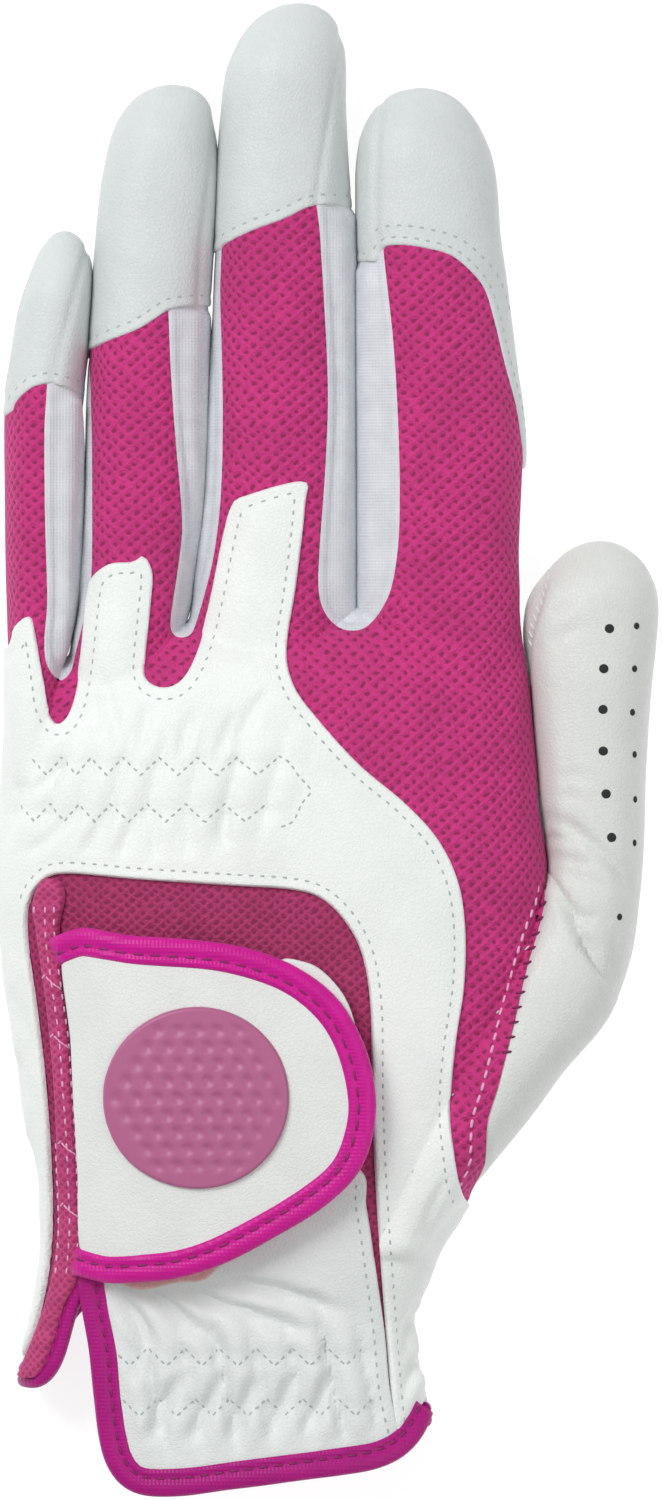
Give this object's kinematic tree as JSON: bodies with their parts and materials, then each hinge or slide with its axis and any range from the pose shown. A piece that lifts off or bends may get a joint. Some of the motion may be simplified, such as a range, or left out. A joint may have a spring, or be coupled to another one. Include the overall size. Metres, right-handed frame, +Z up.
{
  "type": "golf glove",
  "caption": "Left-hand golf glove of thin leather with a knit back, stretch finger walls, bound cuff and a hook-and-loop closing tab.",
  "frame": {"origin": "on the ground under the middle of the glove, which lies palm down", "axes": "+X towards the thumb, +Y towards the fingertips, +Z up out of the back of the hand"},
  "size_m": [0.0945, 0.216, 0.0266],
  "materials": {
    "leather": "satin",
    "knit": "matte",
    "lycra": "matte",
    "piping": "satin",
    "tape": "matte",
    "rubber": "matte",
    "elastic": "matte"
  },
  "bodies": {
    "palm": {"palm_leather": "leather", "back_knit": "knit", "thumb_base": "leather", "wrist_panel": "leather", "cuff_binding_back": "piping", "cuff_binding_palm": "piping", "slit_binding_back": "piping", "slit_binding_palm": "piping", "back_overlay": "leather", "knuckle_elastic": "elastic", "wrist_elastic": "elastic", "loop_tape": "tape", "tab_root_strip": "knit", "inner_label": "elastic", "web_pinky_ring": "lycra", "web_ring_middle": "lycra", "web_middle_index": "lycra"},
    "pinky_lower": {"pinky_knit_lower": "knit", "pinky_palm_lower": "leather", "pinky_web_right_lower": "lycra"},
    "pinky_upper": {"pinky_knit_upper": "knit", "pinky_palm_upper": "leather", "pinky_web_right_upper": "lycra", "pinky_cap": "leather"},
    "ring_lower": {"ring_knit_lower": "knit", "ring_palm_lower": "leather", "ring_web_left_lower": "lycra", "ring_web_right_lower": "lycra"},
    "ring_upper": {"ring_knit_upper": "knit", "ring_palm_upper": "leather", "ring_web_left_upper": "lycra", "ring_web_right_upper": "lycra", "ring_cap": "leather"},
    "middle_lower": {"middle_knit_lower": "knit", "middle_palm_lower": "leather", "middle_web_left_lower": "lycra", "middle_web_right_lower": "lycra"},
    "middle_upper": {"middle_knit_upper": "knit", "middle_palm_upper": "leather", "middle_web_left_upper": "lycra", "middle_web_right_upper": "lycra", "middle_cap": "leather"},
    "index_lower": {"index_knit_lower": "knit", "index_palm_lower": "leather", "index_web_left_lower": "lycra"},
    "index_upper": {"index_knit_upper": "knit", "index_palm_upper": "leather", "index_web_left_upper": "lycra", "index_cap": "leather"},
    "thumb_lower": {"thumb_lower": "leather"},
    "thumb_upper": {"thumb_upper": "leather"},
    "tab": {"tab_panel": "leather", "tab_binding": "piping", "tab_emblem": "rubber", "hook_tape": "tape"}
  },
  "joints": [
    {"name": "pinky_base_bend", "type": "hinge", "parent": "palm", "child": "pinky_lower", "pos_m": [-0.0421, 0.0208, 0.00567], "axis": [-1, 0, 0], "range_deg": [-25, 60]},
    {"name": "pinky_middle_bend", "type": "hinge", "parent": "pinky_lower", "child": "pinky_upper", "pos_m": [-0.0421, 0.0418, 0.00567], "axis": [-1, 0, 0], "range_deg": [0, 70]},
    {"name": "ring_base_bend", "type": "hinge", "parent": "palm", "child": "ring_lower", "pos_m": [-0.0277, 0.0268, 0.00588], "axis": [-1, 0, 0], "range_deg": [-25, 60]},
    {"name": "ring_middle_bend", "type": "hinge", "parent": "ring_lower", "child": "ring_upper", "pos_m": [-0.0277, 0.0498, 0.00588], "axis": [-1, 0, 0], "range_deg": [0, 70]},
    {"name": "middle_base_bend", "type": "hinge", "parent": "palm", "child": "middle_lower", "pos_m": [-0.0077, 0.0308, 0.00609], "axis": [-1, 0, 0], "range_deg": [-25, 60]},
    {"name": "middle_middle_bend", "type": "hinge", "parent": "middle_lower", "child": "middle_upper", "pos_m": [-0.0077, 0.0598, 0.00609], "axis": [-1, 0, 0], "range_deg": [0, 70]},
    {"name": "index_base_bend", "type": "hinge", "parent": "palm", "child": "index_lower", "pos_m": [0.0163, 0.0308, 0.00609], "axis": [-1, 0, 0], "range_deg": [-25, 60]},
    {"name": "index_middle_bend", "type": "hinge", "parent": "index_lower", "child": "index_upper", "pos_m": [0.0163, 0.0558, 0.00609], "axis": [-1, 0, 0], "range_deg": [0, 70]},
    {"name": "thumb_spread", "type": "hinge", "parent": "palm", "child": "thumb_lower", "pos_m": [0.0315, -0.0162, 0.00588], "axis": [0, 0, -1], "range_deg": [0, 35]},
    {"name": "thumb_tip_bend", "type": "hinge", "parent": "thumb_lower", "child": "thumb_upper", "pos_m": [0.0385, 0.0088, 0.00588], "axis": [-1, 0, 0], "range_deg": [0, 60]},
    {"name": "tab_open", "type": "hinge", "parent": "palm", "child": "tab", "pos_m": [-0.03706, -0.0515, 0.0193], "axis": [0.0673, -0.9977, 0], "range_deg": [0, 150]}
  ]
}
